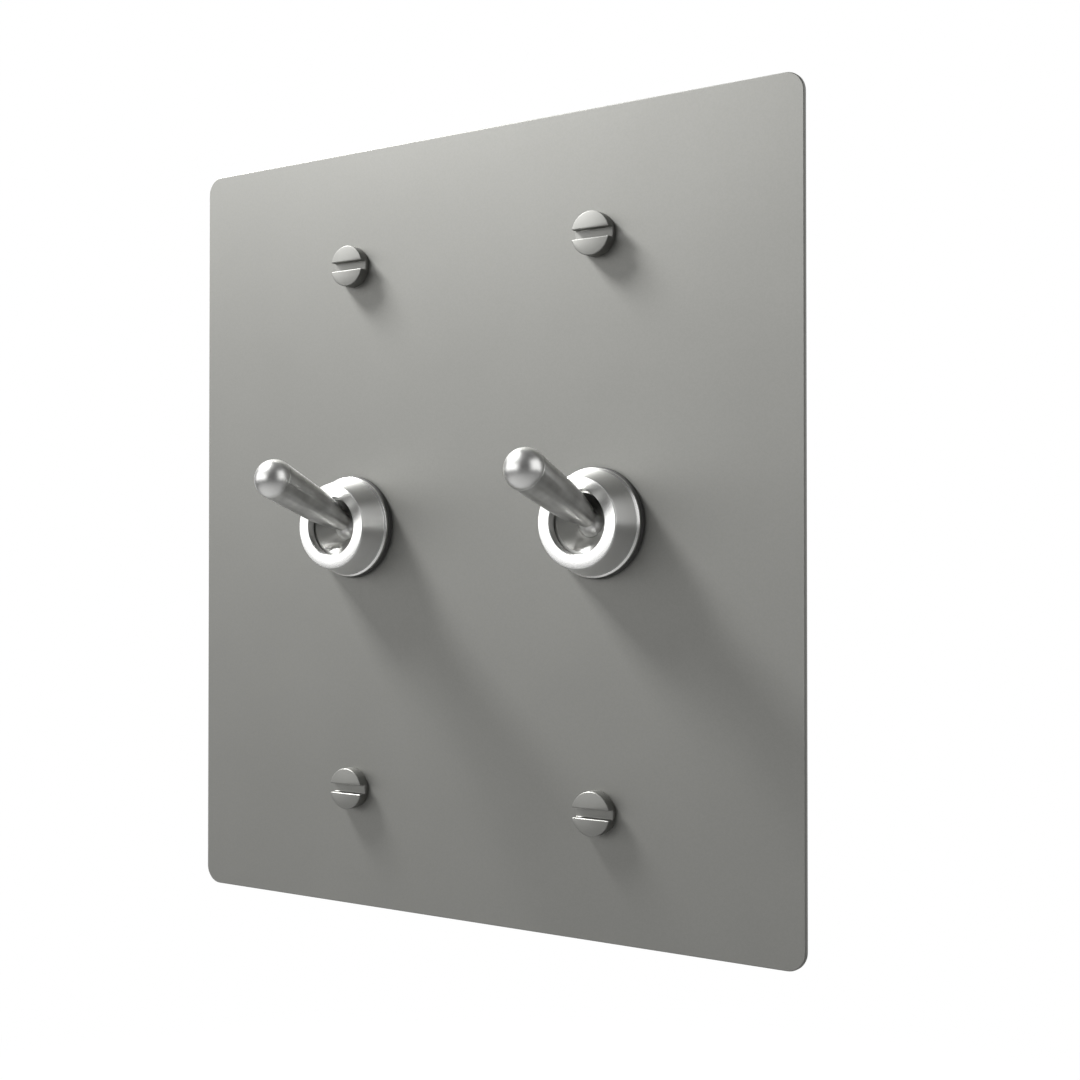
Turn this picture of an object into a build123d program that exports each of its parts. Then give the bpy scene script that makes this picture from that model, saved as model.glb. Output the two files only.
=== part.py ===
from build123d import *
import math
import os

# Two-gang toggle light switch on a flat steel face plate.
# Millimetres. The plate stands in the XZ plane with its front towards -Y and +Z up.
# The origin is the centre of the plate's back face, where it meets the wall.

# Face plate
PLATE_WIDTH = 111.3
PLATE_HEIGHT = 120.4
PLATE_THICKNESS = 0.6
PLATE_CORNER_RADIUS = 2.8
PLATE_EDGE_BEVEL = 0.15
GANG_SPACING = 46.04
BOX_ROW_SPACING = 83.34

# Plate screws, number 6 wall box size
BOX_THREAD_RADIUS = 1.75
BOX_SCREW_NECK_RADIUS = 1.35
BOX_NECK_SHORTFALL = 0.1
BOX_SCREW_LENGTH = 25.4
BOX_SCREW_POINT_BEVEL = 0.5
BOX_HEAD_RADIUS = 3.22
BOX_HEAD_HEIGHT = 1.9
BOX_HEAD_BEVEL = 0.18
BOX_SLOT_WIDTH = 1.4
BOX_SLOT_DEPTH = 1.1
BOX_HOLE_CLEARANCE = 0.25

# Bushing, 15/32 inch thread
BUSHING_RADIUS = 5.953
THREAD_DEPTH = 0.49
BUSHING_PROJECTION = 4.0
BUSHING_LENGTH = 9.5
BUSHING_FRONT_BEVEL = 0.3
BUSHING_HOLE_CLEARANCE = 0.15
BUSHING_REAR_BORE_RADIUS = 4.65
BUSHING_SPIGOT_RADIUS = 5.3
STAKE_RADIUS = 5.9
STAKE_THICKNESS = 0.4
MOUTH_ANGLE = 45.0
MOUTH_HOLE_RADIUS = 2.1
THREAD_CLEARANCE = 0.04

# Lever
PIVOT_PROJECTION = 0.7
LEVER_TILT = 21.5
LEVER_REACH = 18.7
LEVER_TIP_RADIUS = 3.05
LEVER_NECK_RADIUS = 1.45
LEVER_NECK_REACH = 2.3
LEVER_WAIST_RADIUS = 2.66
LEVER_WAIST_REACH = 10.3
LEVER_ROOT_RADIUS = 1.9
LEVER_ROOT_REACH = 4.0
LEVER_BALL_RADIUS = 2.35
BALL_CLEARANCE = 0.05
TAIL_RADIUS = 1.3
TAIL_REACH = 9.0
BARREL_FLARE = 0.9
BARREL_RADIUS = 2.5
BARREL_LENGTH = 6.3
BARREL_BORE_RADIUS = 1.75
BARREL_END_WALL = 0.8
BARREL_EDGE_BEVEL = 0.2
PIN_RADIUS = 0.6
PIN_CLEARANCE = 0.05

# Plunger and its spring, in the lever's tail
PLUNGER_CLEARANCE = 0.06
PLUNGER_TIP_RADIUS = 1.2
PLUNGER_GUIDE = 2.4
PLUNGER_OUT = 2.0
PLUNGER_SPIGOT_RADIUS = 0.8
PLUNGER_SPIGOT_LENGTH = 0.9
SPRING_WIRE_RADIUS = 0.2
SPRING_WIRE_SIDES = 6
SPRING_TURNS = 3.5
SPRING_CLEARANCE = 0.12
SPRING_END_GAP = 0.05

# Dress collar and its washer, in front of the plate
COLLAR_PROJECTION = 5.5
COLLAR_FRONT_RADIUS = 6.65
COLLAR_CONE_RADIUS = 7.65
COLLAR_RIM_RADIUS = 7.95
COLLAR_RIM_BAND = 0.5
COLLAR_RIM_BEVEL = 0.3
COLLAR_EDGE_BEVEL = 0.15
COLLAR_OPENING_RADIUS = 4.65
COLLAR_LIP = 1.3
WASHER_THICKNESS = 0.8
WASHER_RADIUS = 8.1

# Lock washer and hex nut, behind the plate
LOCK_WASHER_THICKNESS = 0.6
LOCK_WASHER_RADIUS = 7.6
LOCK_WASHER_RING = 0.75
LOCK_TOOTH_COUNT = 10
LOCK_TOOTH_WIDTH = 1.5
NUT_ACROSS_FLATS = 14.3
NUT_THICKNESS = 2.0
NUT_CORNER_BEVEL = 0.45
NUT_FACE_INSET = 0.9

# Sheet steel frame of the switch
SHEET = 1.0
SKIRT_SHEET = 0.8
SKIRT_DEPTH = 4.0
BEND_RADIUS = 0.4
FRAME_CORNER_RADIUS = 0.9
LEG_WIDTH = 5.0
LEG_OFFSET = 8.5
TAB_REACH = 1.6
FRAME_FIT = 0.04

# Moulded housing
HOUSING_WIDTH = 15.9
HOUSING_LENGTH = 30.0
FULCRUM_HEIGHT = 1.85
HOUSING_WALL = 1.5
HOUSING_FLOOR = 2.5
HOUSING_CORNER_RADIUS = 0.8
BARRIER_HEIGHT = 3.6
BARRIER_THICKNESS = 1.2
BARRIER_WIDTH = 10.5
BARRIER_OFFSET = 5.6
SLOT_FIT = 0.04

# Rocking contact
ROCKER_SWING = 8.0
ROCKER_WIDTH = 5.0
ROCKER_THICKNESS = 0.9
ROCKER_APEX = 0.95
SADDLE_RADIUS = 10.3
SADDLE_HALF_ANGLE = 44.0
ROCKER_ARM_REACH = 11.3
ROCKER_GAP = 0.2
FULCRUM_RADIUS = 0.4
FULCRUM_CLEARANCE = 0.05
ROCKER_SIDE_CLEARANCE = 0.1

# Contact rivets
RIVET_REACH = 9.6
RIVET_HEAD_RADIUS = 1.5
RIVET_DOME_HEIGHT = 0.6
RIVET_SHANK_RADIUS = 0.6
RIVET_FIT = 0.02
FIXED_RIVET_RADIUS = 1.6
FIXED_RIVET_HEIGHT = 0.5
CONTACT_GAP = 0.12

# Terminals and their screws
TERMINAL_SHEET = 0.8
TERMINAL_WIDTH = 6.35
TERMINAL_PROJECTION = 8.0
TERMINAL_BEVEL = 1.0
PAD_LENGTH = 4.0
PAD_INSET = 1.8
LEDGE_MARGIN = 0.05
TERMINAL_SCREW_BACK = 4.3
TERMINAL_THREAD_RADIUS = 1.5
TERMINAL_SHANK = 3.8
TERMINAL_HEAD_RADIUS = 2.9
TERMINAL_HEAD_HEIGHT = 1.6
TERMINAL_HEAD_BEVEL = 0.35
TERMINAL_SLOT_WIDTH = 0.9
TERMINAL_SLOT_DEPTH = 0.8

# Places along the switch axis, worked out from the sizes above
CUT = 1.0
FRONT_Y = -PLATE_THICKNESS
PIVOT_Y = FRONT_Y - PIVOT_PROJECTION
BUSHING_FRONT_Y = FRONT_Y - BUSHING_PROJECTION
FRAME_Y = BUSHING_FRONT_Y + BUSHING_LENGTH
HOUSING_Y = FRAME_Y + SHEET
STAKE_Y = HOUSING_Y + STAKE_THICKNESS
BARREL_START_REACH = TAIL_REACH + BARREL_FLARE
BARREL_END_REACH = BARREL_START_REACH + BARREL_LENGTH
BORE_REACH = BARREL_START_REACH + BARREL_END_WALL
PLUNGER_REACH = BARREL_END_REACH + PLUNGER_OUT
FULCRUM_Y = PIVOT_Y + PLUNGER_REACH + ROCKER_GAP + ROCKER_APEX
FLOOR_Y = FULCRUM_Y + FULCRUM_HEIGHT
BACK_Y = FLOOR_Y + HOUSING_FLOOR
TERMINAL_END_Y = BACK_Y + TERMINAL_PROJECTION
GANGS = {"left": -GANG_SPACING / 2, "right": GANG_SPACING / 2}


def turned(points):
    """A solid of revolution about the Y axis, from (radius, y) corners."""
    return revolve(make_face(Polyline(*points, close=True)), Axis.Y)


def disc(radius, start, end):
    """A cylinder along Y between two places."""
    return extrude(Plane.XZ.offset(-start) * Circle(radius), -(end - start))


def block(x_size, y_range, z_range):
    """A box centred on X, between two places along Y and along Z."""
    y_size = y_range[1] - y_range[0]
    z_size = z_range[1] - z_range[0]
    return Pos(0, sum(y_range) / 2, sum(z_range) / 2) * Box(x_size, y_size, z_size)


def cross_bar(radius, half_length, y):
    """A cylinder along X through the switch axis."""
    return Pos(0, y, 0) * Rot(0, 90, 0) * Cylinder(radius, 2 * half_length)


def screw_places():
    """The four wall box screw centres, on the plate."""
    half_row = BOX_ROW_SPACING / 2
    return [(x, z) for x in GANGS.values() for z in (-half_row, half_row)]


def face_plate():
    """Flat steel plate with bevelled front edges, two switch holes and four screw holes."""
    outline = RectangleRounded(PLATE_WIDTH, PLATE_HEIGHT, PLATE_CORNER_RADIUS)
    plate = extrude(Plane.XZ * outline, PLATE_THICKNESS)
    front = plate.faces().sort_by(Axis.Y)[0]
    plate = chamfer(front.outer_wire().edges(), PLATE_EDGE_BEVEL)
    for x in GANGS.values():
        hole = disc(BUSHING_RADIUS + BUSHING_HOLE_CLEARANCE, FRONT_Y - CUT, CUT)
        plate -= Pos(x, 0, 0) * hole
    for x, z in screw_places():
        hole = disc(BOX_THREAD_RADIUS + BOX_HOLE_CLEARANCE, FRONT_Y - CUT, CUT)
        plate -= Pos(x, 0, z) * hole
    return plate


def plate_screw():
    """Cheese head machine screw, slotted across, with a plain neck through the plate."""
    top = FRONT_Y - BOX_HEAD_HEIGHT
    thread_start = -BOX_NECK_SHORTFALL
    end = FRONT_Y + BOX_SCREW_LENGTH
    screw = turned([
        (0, top),
        (BOX_HEAD_RADIUS - BOX_HEAD_BEVEL, top),
        (BOX_HEAD_RADIUS, top + BOX_HEAD_BEVEL),
        (BOX_HEAD_RADIUS, FRONT_Y),
        (BOX_SCREW_NECK_RADIUS, FRONT_Y),
        (BOX_SCREW_NECK_RADIUS, thread_start),
        (BOX_THREAD_RADIUS, thread_start),
        (BOX_THREAD_RADIUS, end - BOX_SCREW_POINT_BEVEL),
        (BOX_THREAD_RADIUS - BOX_SCREW_POINT_BEVEL, end),
        (0, end),
    ])
    half_slot = BOX_SLOT_WIDTH / 2
    slot_range = (top - CUT, top + BOX_SLOT_DEPTH)
    return screw - block(2 * BOX_HEAD_RADIUS + CUT, slot_range, (-half_slot, half_slot))


def plate_screws():
    """The four identical plate screws."""
    screw = plate_screw()
    return Compound([Pos(x, 0, z) * screw for x, z in screw_places()])


def collar():
    """Conical dress nut with a bevelled rim, a front lip and a plain bore for the thread."""
    front = FRONT_Y - COLLAR_PROJECTION
    back = FRONT_Y - WASHER_THICKNESS
    rim_front = back - COLLAR_RIM_BAND
    cone_end = rim_front - COLLAR_RIM_BEVEL
    bore = BUSHING_RADIUS + THREAD_CLEARANCE
    lip_back = front + COLLAR_LIP
    return turned([
        (COLLAR_OPENING_RADIUS + COLLAR_EDGE_BEVEL, front),
        (COLLAR_FRONT_RADIUS - COLLAR_EDGE_BEVEL, front),
        (COLLAR_FRONT_RADIUS, front + COLLAR_EDGE_BEVEL),
        (COLLAR_CONE_RADIUS, cone_end),
        (COLLAR_RIM_RADIUS, rim_front),
        (COLLAR_RIM_RADIUS, back),
        (bore, back),
        (bore, lip_back),
        (COLLAR_OPENING_RADIUS, lip_back),
        (COLLAR_OPENING_RADIUS, front + COLLAR_EDGE_BEVEL),
    ])


def collar_washer():
    """Thin black washer between the collar and the plate."""
    washer = disc(WASHER_RADIUS, FRONT_Y - WASHER_THICKNESS, FRONT_Y)
    return washer - disc(BUSHING_RADIUS + THREAD_CLEARANCE, FRONT_Y - CUT, CUT)


def bushing():
    """Threaded bushing: conical mouth, ball seat, flared bore and a staked spigot."""
    seat = LEVER_BALL_RADIUS + BALL_CLEARANCE
    seat_front = PIVOT_Y - math.sqrt(seat ** 2 - MOUTH_HOLE_RADIUS ** 2)
    mouth_depth = seat_front - BUSHING_FRONT_Y
    mouth_radius = MOUTH_HOLE_RADIUS + mouth_depth * math.tan(math.radians(MOUTH_ANGLE))
    core = BUSHING_RADIUS - THREAD_DEPTH
    body = turned([
        (0, BUSHING_FRONT_Y),
        (BUSHING_RADIUS - BUSHING_FRONT_BEVEL, BUSHING_FRONT_Y),
        (BUSHING_RADIUS, BUSHING_FRONT_Y + BUSHING_FRONT_BEVEL),
        (BUSHING_RADIUS, FRAME_Y - THREAD_DEPTH),
        (core, FRAME_Y),
        (BUSHING_SPIGOT_RADIUS, FRAME_Y),
        (BUSHING_SPIGOT_RADIUS, HOUSING_Y),
        (STAKE_RADIUS, HOUSING_Y),
        (STAKE_RADIUS, STAKE_Y),
        (0, STAKE_Y),
    ])
    mouth = turned([
        (0, BUSHING_FRONT_Y - CUT),
        (mouth_radius + CUT, BUSHING_FRONT_Y - CUT),
        (MOUTH_HOLE_RADIUS, seat_front),
        (MOUTH_HOLE_RADIUS, PIVOT_Y),
        (0, PIVOT_Y),
    ])
    flare = turned([
        (0, PIVOT_Y),
        (seat, PIVOT_Y),
        (BUSHING_REAR_BORE_RADIUS, STAKE_Y),
        (BUSHING_REAR_BORE_RADIUS, STAKE_Y + CUT),
        (0, STAKE_Y + CUT),
    ])
    body -= mouth
    body -= flare
    body -= Pos(0, PIVOT_Y, 0) * Sphere(seat)
    return body - cross_bar(PIN_RADIUS + RIVET_FIT, BUSHING_RADIUS + CUT, PIVOT_Y)


def lever_pin():
    """Cross pin that the lever turns on, held in the bushing's wall."""
    return cross_bar(PIN_RADIUS, BUSHING_RADIUS - THREAD_DEPTH, PIVOT_Y)


def on_lever(shape):
    """Tilt a shape made about the lever's own axis to where the lever rests, tip up."""
    return Pos(0, PIVOT_Y, 0) * Rot(-LEVER_TILT, 0, 0) * shape


def lever():
    """Bat handle, pivot ball and hollow tail, turned in one piece."""
    dome_end = (0, -LEVER_REACH - LEVER_TIP_RADIUS)
    dome_side = (LEVER_TIP_RADIUS, -LEVER_REACH)
    waist = (LEVER_WAIST_RADIUS, -LEVER_WAIST_REACH)
    root = (LEVER_ROOT_RADIUS, -LEVER_ROOT_REACH)
    neck_end = (LEVER_NECK_RADIUS, -LEVER_NECK_REACH)
    taper = Line(dome_side, waist)
    handle = make_face([
        Line((0, 0), dome_end),
        RadiusArc(dome_end, dome_side, -LEVER_TIP_RADIUS),
        taper,
        TangentArc(waist, root, tangent=taper % 1),
        Line(root, neck_end),
        Line(neck_end, (LEVER_NECK_RADIUS, 0)),
        Line((LEVER_NECK_RADIUS, 0), (0, 0)),
    ])
    tail = turned([
        (0, 0),
        (TAIL_RADIUS, 0),
        (TAIL_RADIUS, TAIL_REACH),
        (BARREL_RADIUS, BARREL_START_REACH),
        (BARREL_RADIUS, BARREL_END_REACH - BARREL_EDGE_BEVEL),
        (BARREL_RADIUS - BARREL_EDGE_BEVEL, BARREL_END_REACH),
        (0, BARREL_END_REACH),
    ])
    bore = disc(BARREL_BORE_RADIUS, BORE_REACH, BARREL_END_REACH + CUT)
    solid = revolve(handle, Axis.Y) + Sphere(LEVER_BALL_RADIUS) + tail
    return on_lever(solid - bore - cross_bar(PIN_RADIUS + PIN_CLEARANCE, LEVER_BALL_RADIUS + CUT, 0))


def plunger():
    """Round-nosed insulating plunger that slides in the tail's bore."""
    radius = BARREL_BORE_RADIUS - PLUNGER_CLEARANCE
    nose = PLUNGER_REACH - PLUNGER_TIP_RADIUS
    inner = BARREL_END_REACH - PLUNGER_GUIDE
    body = make_face([
        Line((0, inner - PLUNGER_SPIGOT_LENGTH), (PLUNGER_SPIGOT_RADIUS, inner - PLUNGER_SPIGOT_LENGTH)),
        Line((PLUNGER_SPIGOT_RADIUS, inner - PLUNGER_SPIGOT_LENGTH), (PLUNGER_SPIGOT_RADIUS, inner)),
        Line((PLUNGER_SPIGOT_RADIUS, inner), (radius, inner)),
        Line((radius, inner), (radius, BARREL_END_REACH)),
        Line((radius, BARREL_END_REACH), (PLUNGER_TIP_RADIUS, nose)),
        RadiusArc((PLUNGER_TIP_RADIUS, nose), (0, PLUNGER_REACH), -PLUNGER_TIP_RADIUS),
        Line((0, PLUNGER_REACH), (0, inner - PLUNGER_SPIGOT_LENGTH)),
    ])
    return on_lever(revolve(body, Axis.Y))


def plunger_spring():
    """Compression spring between the bottom of the tail's bore and the plunger."""
    start = BORE_REACH + SPRING_WIRE_RADIUS + SPRING_END_GAP
    end = BARREL_END_REACH - PLUNGER_GUIDE - SPRING_WIRE_RADIUS - SPRING_END_GAP
    coil = BARREL_BORE_RADIUS - SPRING_CLEARANCE - SPRING_WIRE_RADIUS
    path = Helix((end - start) / SPRING_TURNS, end - start, coil)
    section = RegularPolygon(SPRING_WIRE_RADIUS, SPRING_WIRE_SIDES)
    wire = sweep(Plane(path @ 0, z_dir=path % 0) * section, path)
    return on_lever(Pos(0, start, 0) * Rot(-90, 0, 0) * wire)


def lock_washer():
    """Internal tooth lock washer behind the plate."""
    ring = LOCK_WASHER_RADIUS - LOCK_WASHER_RING
    washer = disc(LOCK_WASHER_RADIUS, 0, LOCK_WASHER_THICKNESS) - disc(ring, -CUT, CUT)
    tip = BUSHING_RADIUS + THREAD_CLEARANCE
    tooth = Pos((tip + ring) / 2, LOCK_WASHER_THICKNESS / 2, 0)
    tooth *= Box(ring - tip + LOCK_WASHER_RING, LOCK_WASHER_THICKNESS, LOCK_TOOTH_WIDTH)
    for index in range(LOCK_TOOTH_COUNT):
        washer += Rot(0, index * 360 / LOCK_TOOTH_COUNT, 0) * tooth
    return washer - disc(tip, -CUT, LOCK_WASHER_THICKNESS + CUT)


def hex_nut():
    """Hexagon nut that clamps the switch to the plate, bevelled on both faces."""
    start = LOCK_WASHER_THICKNESS
    end = start + NUT_THICKNESS
    corner = NUT_ACROSS_FLATS / math.sqrt(3)
    nut = extrude(Plane.XZ.offset(-start) * RegularPolygon(corner, 6), -NUT_THICKNESS)
    nut &= turned([
        (0, start),
        (corner - NUT_FACE_INSET, start),
        (corner, start + NUT_CORNER_BEVEL),
        (corner, end - NUT_CORNER_BEVEL),
        (corner - NUT_FACE_INSET, end),
        (0, end),
    ])
    return nut - disc(BUSHING_RADIUS + THREAD_CLEARANCE, start - CUT, end + CUT)


def switch_frame():
    """Pressed sheet frame: front panel with a skirt and four legs crimped over the housing."""
    side = HOUSING_WIDTH / 2 + FRAME_FIT + SKIRT_SHEET
    half_length = HOUSING_LENGTH / 2 + FRAME_FIT + SKIRT_SHEET
    skirt_end = HOUSING_Y + SKIRT_DEPTH
    shell = block(2 * side, (FRAME_Y, skirt_end), (-half_length, half_length))
    shell = fillet(shell.edges().filter_by(Axis.Y), FRAME_CORNER_RADIUS)
    shell = fillet(shell.faces().sort_by(Axis.Y)[0].edges(), BEND_RADIUS)
    inner_half = HOUSING_LENGTH / 2 + FRAME_FIT
    shell -= block(HOUSING_WIDTH + 2 * FRAME_FIT, (HOUSING_Y, skirt_end + CUT), (-inner_half, inner_half))
    leg_end = BACK_Y + FRAME_FIT + SKIRT_SHEET
    for z in (-LEG_OFFSET, LEG_OFFSET):
        z_range = (z - LEG_WIDTH / 2, z + LEG_WIDTH / 2)
        clip = block(2 * side, (HOUSING_Y + SKIRT_DEPTH / 2, leg_end), z_range)
        clip -= block(HOUSING_WIDTH + 2 * FRAME_FIT, (HOUSING_Y, BACK_Y + FRAME_FIT), z_range)
        clip -= block(HOUSING_WIDTH - 2 * TAB_REACH, (BACK_Y, leg_end + CUT), z_range)
        shell += clip
    return shell - disc(BUSHING_SPIGOT_RADIUS + FRAME_FIT, FRAME_Y - CUT, HOUSING_Y + CUT)


def fixed_pad_y():
    """Where a fixed terminal's pad begins, under its rivet and the closed contact."""
    swing = math.radians(ROCKER_SWING)
    dome = (RIVET_HEAD_RADIUS ** 2 + RIVET_DOME_HEIGHT ** 2) / (2 * RIVET_DOME_HEIGHT)
    centre = arm_bottom() + RIVET_DOME_HEIGHT - dome
    touch = centre * math.cos(swing) + RIVET_REACH * math.sin(swing) + dome
    return FULCRUM_Y + touch + CONTACT_GAP + FIXED_RIVET_HEIGHT


def fixed_rivet_z():
    """How far from the middle the closed contact touches its fixed rivet."""
    swing = math.radians(ROCKER_SWING)
    return RIVET_REACH * math.cos(swing) - arm_bottom() * math.sin(swing)


def arm_bottom():
    """The contact side of the rocker's arms, along Y from the fulcrum with the rocker level."""
    half_angle = math.radians(SADDLE_HALF_ANGLE)
    return ROCKER_THICKNESS / 2 - ROCKER_APEX - SADDLE_RADIUS * (1 - math.cos(half_angle))


def blade_z():
    """The outer face of a fixed terminal's blade."""
    return fixed_rivet_z() + PAD_LENGTH - PAD_INSET


def housing():
    """Moulded housing: open box with pad ledges, terminal slots and barriers at the back."""
    half_length = HOUSING_LENGTH / 2
    body = block(HOUSING_WIDTH, (HOUSING_Y, BACK_Y), (-half_length, half_length))
    body = fillet(body.edges().filter_by(Axis.Y), HOUSING_CORNER_RADIUS)
    inner_half = half_length - HOUSING_WALL
    inner_width = HOUSING_WIDTH - 2 * HOUSING_WALL
    body -= block(inner_width, (HOUSING_Y - CUT, FLOOR_Y), (-inner_half, inner_half))
    ledge_y = fixed_pad_y() + TERMINAL_SHEET + LEDGE_MARGIN
    ledge_end = blade_z() - TERMINAL_SHEET - SLOT_FIT
    slot_width = TERMINAL_WIDTH + 2 * SLOT_FIT
    half_sheet = TERMINAL_SHEET / 2 + SLOT_FIT
    body -= block(slot_width, (FLOOR_Y - CUT, BACK_Y + CUT), (-half_sheet, half_sheet))
    for sign in (-1, 1):
        ledge = sorted((sign * (fixed_rivet_z() - PAD_INSET), sign * ledge_end))
        body += block(inner_width, (ledge_y, FLOOR_Y), ledge)
        slot = sorted((sign * ledge_end, sign * (blade_z() + SLOT_FIT)))
        body -= block(slot_width, (FLOOR_Y - CUT, BACK_Y + CUT), slot)
        rib = sorted((sign * BARRIER_OFFSET, sign * (BARRIER_OFFSET + BARRIER_THICKNESS)))
        body += block(BARRIER_WIDTH, (BACK_Y, BACK_Y + BARRIER_HEIGHT), rib)
    return body


def on_rocker(shape):
    """Turn a shape made with the rocker level to where the rocker rests."""
    return Pos(0, FULCRUM_Y, 0) * Rot(ROCKER_SWING, 0, 0) * shape


def rocker():
    """Rocking contact: a curved saddle under the plunger with a flat arm at each end."""
    centre = -ROCKER_APEX - SADDLE_RADIUS
    outer = SADDLE_RADIUS + ROCKER_THICKNESS
    saddle = Pos(0, centre, 0) * Rot(0, 90, 0) * Cylinder(outer, ROCKER_WIDTH)
    saddle -= Pos(0, centre, 0) * Rot(0, 90, 0) * Cylinder(SADDLE_RADIUS, ROCKER_WIDTH + CUT)
    half_angle = math.radians(SADDLE_HALF_ANGLE)
    reach = outer * math.sin(half_angle)
    level = centre + SADDLE_RADIUS * math.cos(half_angle)
    bottom = arm_bottom()
    saddle &= block(ROCKER_WIDTH, (level, CUT), (-reach, reach))
    inside = SADDLE_RADIUS * math.sin(half_angle)
    strip = saddle
    for sign in (-1, 1):
        arm = block(ROCKER_WIDTH, (bottom - ROCKER_THICKNESS, bottom),
                    sorted((sign * inside, sign * ROCKER_ARM_REACH)))
        hole = disc(RIVET_SHANK_RADIUS + RIVET_FIT, bottom - ROCKER_THICKNESS - CUT, bottom + CUT)
        strip = strip + arm - Pos(0, 0, sign * RIVET_REACH) * hole
    groove = cross_bar(FULCRUM_RADIUS + FULCRUM_CLEARANCE, ROCKER_WIDTH, 0)
    return on_rocker(strip - groove)


def rocker_rivets():
    """The two domed silver contacts riveted through the rocker's arms."""
    bottom = arm_bottom()
    dome = (RIVET_HEAD_RADIUS ** 2 + RIVET_DOME_HEIGHT ** 2) / (2 * RIVET_DOME_HEIGHT)
    ball = Pos(0, bottom + RIVET_DOME_HEIGHT - dome, 0) * Sphere(dome)
    head = ball & disc(RIVET_HEAD_RADIUS + CUT, bottom, bottom + CUT)
    rivet = head + disc(RIVET_SHANK_RADIUS, bottom - ROCKER_THICKNESS, bottom)
    return Compound([on_rocker(Pos(0, 0, z) * rivet) for z in (-RIVET_REACH, RIVET_REACH)])


def terminal_blade(y_range, z):
    """Flat blade with a bevelled end and a tapped hole, its outer face towards +Z."""
    blade = block(TERMINAL_WIDTH, y_range, (z - TERMINAL_SHEET, z))
    corners = blade.faces().sort_by(Axis.Y)[-1].edges().filter_by(Axis.Z)
    blade = chamfer(corners, TERMINAL_BEVEL)
    hole = Cylinder(TERMINAL_THREAD_RADIUS + RIVET_FIT, 2 * TERMINAL_SHANK)
    return blade - Pos(0, BACK_Y + TERMINAL_SCREW_BACK, z) * hole


def common_terminal():
    """Middle terminal, whose inner end carries the rocker on a rounded edge between two horns."""
    blade = terminal_blade((FULCRUM_Y, TERMINAL_END_Y), TERMINAL_SHEET / 2)
    gap = ROCKER_WIDTH / 2 + ROCKER_SIDE_CLEARANCE
    edge = cross_bar(FULCRUM_RADIUS, gap, FULCRUM_Y)
    horn_top = FULCRUM_Y - ROCKER_APEX - ROCKER_THICKNESS
    horns = block(TERMINAL_WIDTH, (horn_top, FULCRUM_Y), (-TERMINAL_SHEET / 2, TERMINAL_SHEET / 2))
    horns -= block(2 * gap, (horn_top - CUT, FULCRUM_Y), (-TERMINAL_SHEET, TERMINAL_SHEET))
    return blade + edge + horns


def fixed_terminal():
    """Upper fixed terminal: a pad for its rivet, bent into a blade through the housing."""
    pad_y = fixed_pad_y()
    blade = terminal_blade((pad_y, TERMINAL_END_Y), blade_z())
    pad_start = fixed_rivet_z() - PAD_INSET
    pad = block(TERMINAL_WIDTH, (pad_y, pad_y + TERMINAL_SHEET), (pad_start, blade_z()))
    hole = disc(RIVET_SHANK_RADIUS + RIVET_FIT, pad_y - CUT, pad_y + TERMINAL_SHEET + CUT)
    return blade + pad - Pos(0, 0, fixed_rivet_z()) * hole


def terminal_rivets():
    """The two flat silver contacts riveted to the fixed terminals."""
    pad_y = fixed_pad_y()
    rivet = disc(FIXED_RIVET_RADIUS, pad_y - FIXED_RIVET_HEIGHT, pad_y)
    rivet += disc(RIVET_SHANK_RADIUS, pad_y, pad_y + TERMINAL_SHEET)
    return Compound([Pos(0, 0, z) * rivet for z in (-fixed_rivet_z(), fixed_rivet_z())])


def terminal_screw():
    """Slotted binding screw along Z, its head's underside at the origin and its head up."""
    screw = Pos(0, 0, TERMINAL_HEAD_HEIGHT / 2) * Cylinder(TERMINAL_HEAD_RADIUS, TERMINAL_HEAD_HEIGHT)
    screw = chamfer(screw.faces().sort_by(Axis.Z)[-1].edges(), TERMINAL_HEAD_BEVEL)
    screw += Pos(0, 0, -TERMINAL_SHANK / 2) * Cylinder(TERMINAL_THREAD_RADIUS, TERMINAL_SHANK)
    slot = Box(2 * TERMINAL_HEAD_RADIUS, TERMINAL_SLOT_WIDTH, TERMINAL_SLOT_DEPTH)
    return screw - Pos(0, 0, TERMINAL_HEAD_HEIGHT - TERMINAL_SLOT_DEPTH / 2) * slot


def terminal_screws():
    """The three identical terminal screws of one switch."""
    screw = terminal_screw()
    y = BACK_Y + TERMINAL_SCREW_BACK
    seats = [(TERMINAL_SHEET / 2, 0), (blade_z(), 0), (-blade_z(), 180)]
    return Compound([Pos(0, y, z) * Rot(turn, 0, 0) * screw for z, turn in seats])


SWITCH_PARTS = {
    "collar": collar,
    "collar_washer": collar_washer,
    "bushing": bushing,
    "lever": lever,
    "lever_pin": lever_pin,
    "plunger": plunger,
    "plunger_spring": plunger_spring,
    "lock_washer": lock_washer,
    "hex_nut": hex_nut,
    "switch_frame": switch_frame,
    "housing": housing,
    "rocker": rocker,
    "rocker_rivets": rocker_rivets,
    "common_terminal": common_terminal,
    "terminal_rivets": terminal_rivets,
    "terminal_screws": terminal_screws,
}


def write_part(shape, name):
    """Write one sub-part as a STEP file named after its node."""
    export_step(shape, f"parts/{name}.step")


def main():
    """Build the plate, its screws and one set of switch parts for each gang."""
    os.makedirs("parts", exist_ok=True)
    write_part(face_plate(), "face_plate")
    write_part(plate_screws(), "plate_screws")
    upper = fixed_terminal()
    lower = mirror(upper, Plane.XY)
    for side, x in GANGS.items():
        for name, build in SWITCH_PARTS.items():
            write_part(Pos(x, 0, 0) * build(), f"{name}_{side}")
        write_part(Pos(x, 0, 0) * upper, f"upper_terminal_{side}")
        write_part(Pos(x, 0, 0) * lower, f"lower_terminal_{side}")


main()
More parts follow.
